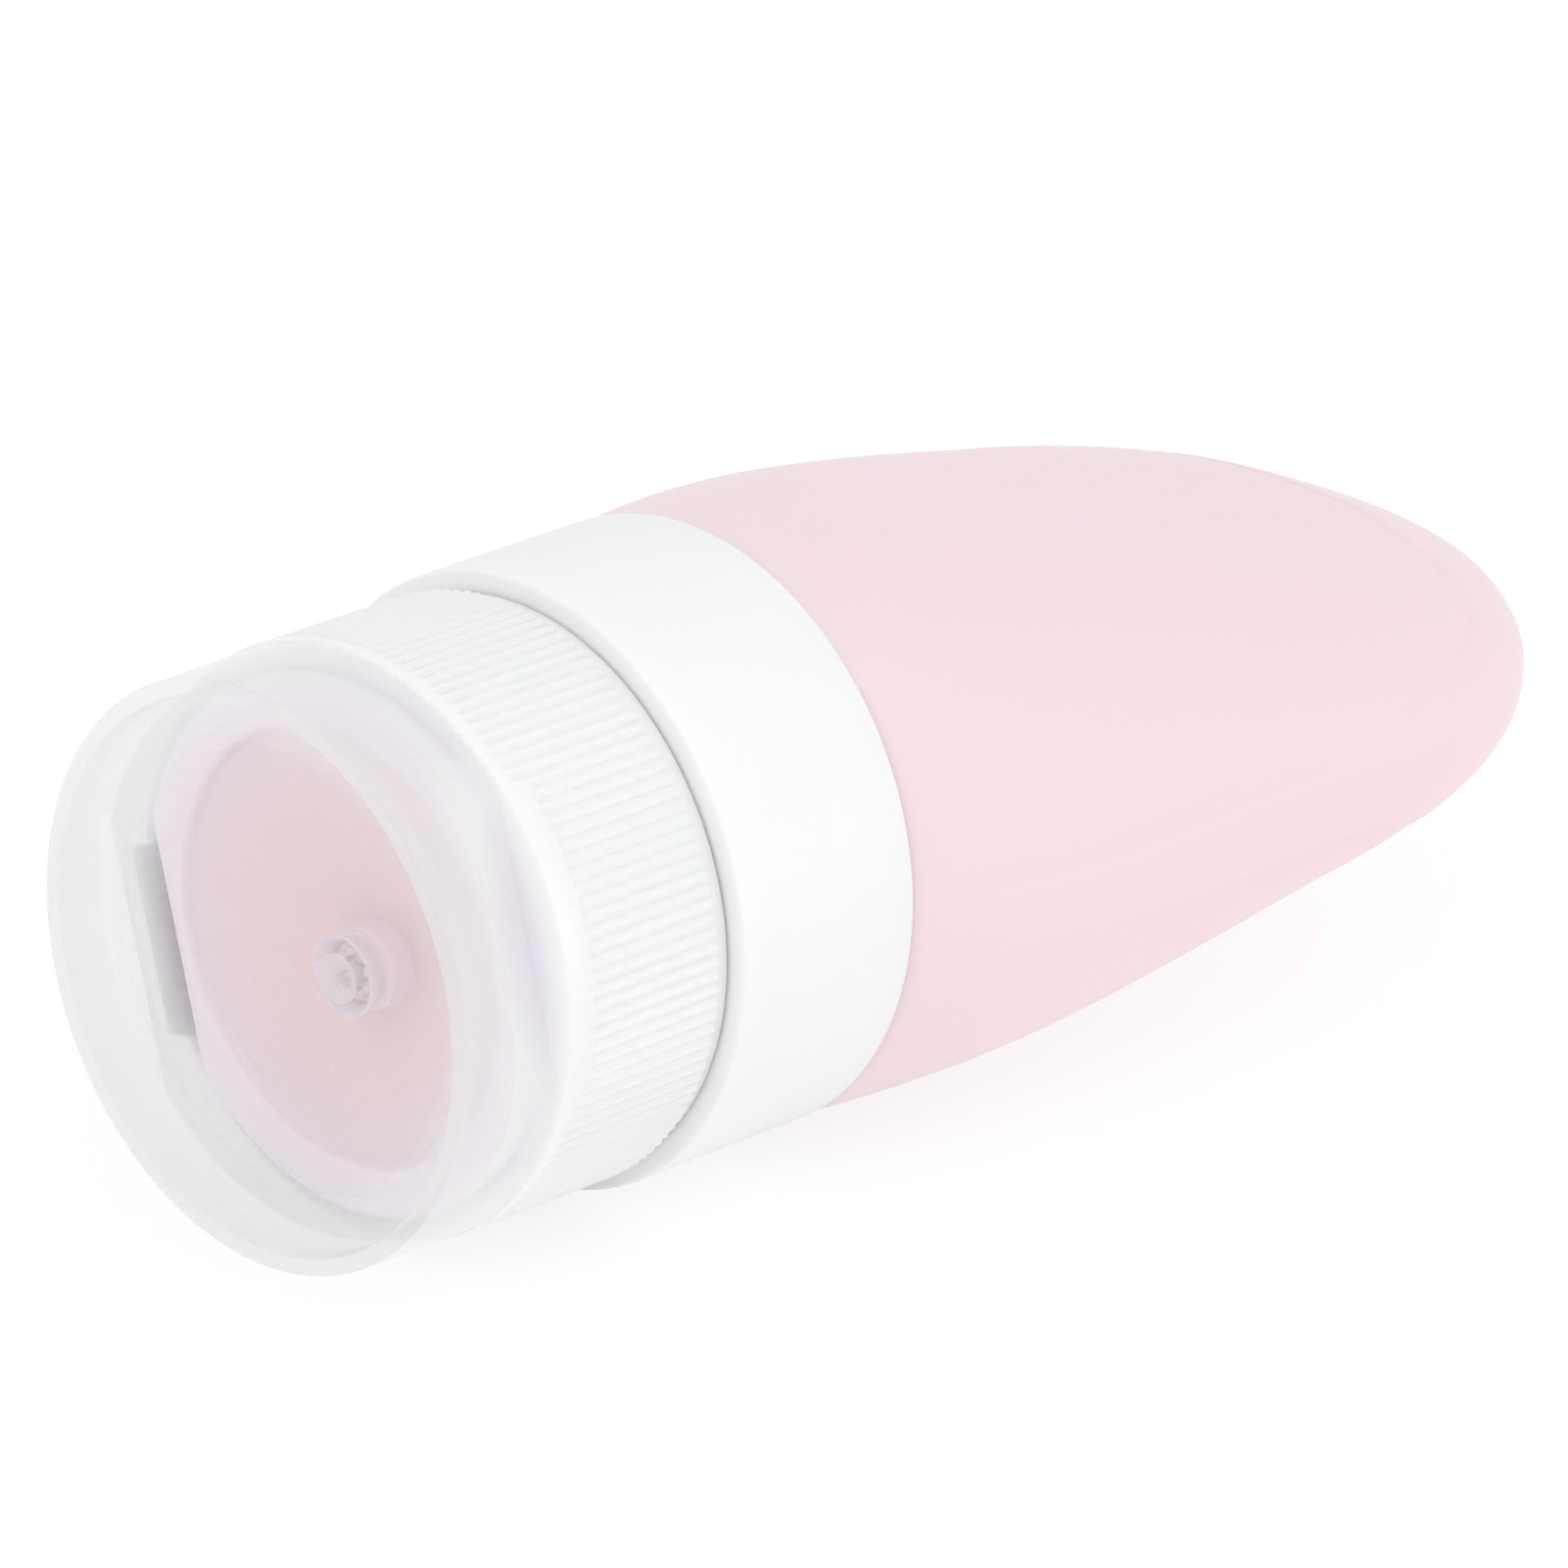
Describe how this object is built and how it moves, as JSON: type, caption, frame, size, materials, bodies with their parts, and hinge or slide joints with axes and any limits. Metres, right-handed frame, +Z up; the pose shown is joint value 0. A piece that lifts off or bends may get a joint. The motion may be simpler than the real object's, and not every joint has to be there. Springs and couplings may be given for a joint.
{
  "type": "travel silicone bottle",
  "caption": "Soft squeeze bottle for travel with a white collar, a ribbed screw cap and a clear flip lid, lying on its flat side.",
  "frame": {"origin": "bottom centre of the lying bottle's box, under its axis", "axes": "+X from the cap's rim to the tail, along the bottle's axis; +Y across the wide side of the body; +Z up"},
  "size_m": [0.1134, 0.049, 0.0425],
  "materials": {
    "pink_silicone": "soft matte, slightly translucent",
    "white_plastic": "satin",
    "clear_plastic": "clear, polished",
    "frosted_plastic": "translucent, satin",
    "seal_silicone": "soft matte"
  },
  "bodies": {
    "bottle": {"silicone_body": "pink_silicone", "collar_ring": "white_plastic", "neck_insert": "white_plastic"},
    "gasket": {"sealing_gasket": "seal_silicone"},
    "cap": {"cap_base": "frosted_plastic", "outlet_nozzle": "clear_plastic", "slit_valve": "seal_silicone", "valve_retainer": "white_plastic", "hinge_pin": "clear_plastic"},
    "lid": {"flip_lid": "clear_plastic", "lid_plug": "clear_plastic"}
  },
  "joints": [
    {"name": "cap_lift", "type": "slide", "parent": "bottle", "child": "gasket", "axis": [-1, 0, 0], "range_m": [0, 0.012]},
    {"name": "cap_turn", "type": "hinge", "parent": "gasket", "child": "cap", "pos_m": [-0.0423, 0, 0.02125], "axis": [-1, 0, 0], "range_deg": [0, 1080]},
    {"name": "lid_open", "type": "hinge", "parent": "cap", "child": "lid", "pos_m": [-0.048, 0.01743, 0.01421], "axis": [0, -0.3746, -0.9272], "range_deg": [0, 130]}
  ],
  "couplings": [
    {"joint": "cap_lift", "follows": "cap_turn", "m_per_rad": 0.0006366}
  ]
}
